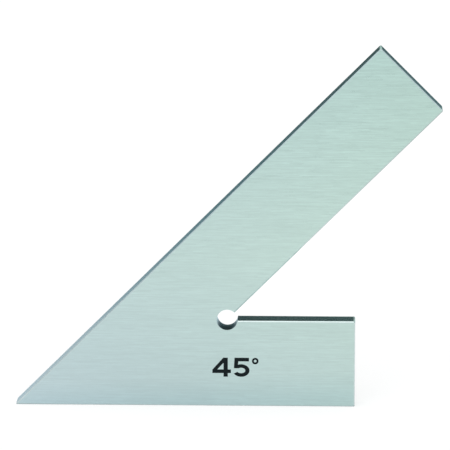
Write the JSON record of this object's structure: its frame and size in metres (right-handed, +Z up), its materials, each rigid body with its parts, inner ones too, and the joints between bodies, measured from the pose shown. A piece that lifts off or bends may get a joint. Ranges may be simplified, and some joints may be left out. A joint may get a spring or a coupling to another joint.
{
  "type": "fixed angle square",
  "caption": "Flat steel angle square in one piece: a long blade at 45 degrees to a short base, with a round relief hole at the inner corner and lightly broken edges.",
  "frame": {"origin": "bottom centre of the bounding box: middle of the plate's thickness, on the plane of the base edge", "axes": "+X along the base edge away from the sharp point, +Z up from the base edge, -Y out of the front face"},
  "size_m": [0.0996, 0.0054, 0.0853],
  "materials": {
    "ground_steel": "fine ground satin with a straight grain along the base"
  },
  "bodies": {
    "root": {"angle_square": "ground_steel"}
  },
  "joints": []
}
